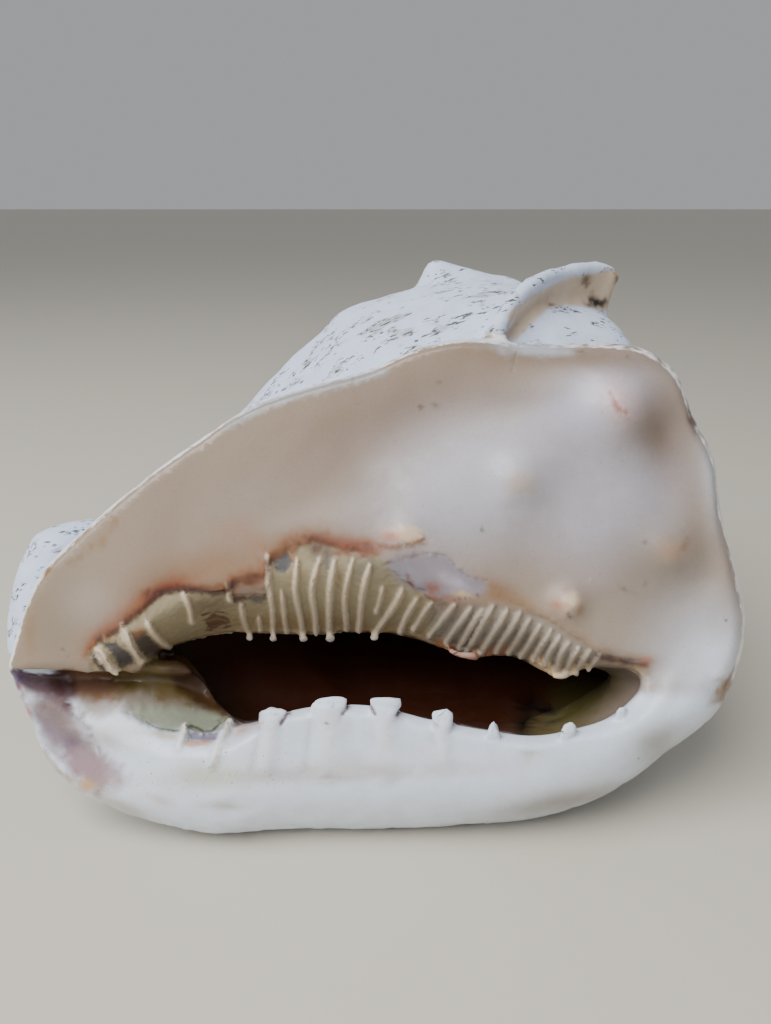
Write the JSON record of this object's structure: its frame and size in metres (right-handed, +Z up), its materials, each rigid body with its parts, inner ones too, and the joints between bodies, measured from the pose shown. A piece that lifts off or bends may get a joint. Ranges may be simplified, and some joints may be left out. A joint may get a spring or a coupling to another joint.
{
  "type": "helmet shell",
  "caption": "Large helmet shell with a broad face shield, a thick toothed outer lip, a long narrow mouth, a knobbed body whorl and a bent-back siphonal canal.",
  "frame": {"origin": "middle of the box round the shell, on the surface that it rests on", "axes": "+X from the siphonal canal to the spire, +Y from the mouth to the back of the body whorl, +Z up"},
  "size_m": [0.2818, 0.2158, 0.1992],
  "materials": {
    "shell": "satin"
  },
  "bodies": {
    "root": {"helmet_shell": "shell"}
  },
  "joints": []
}
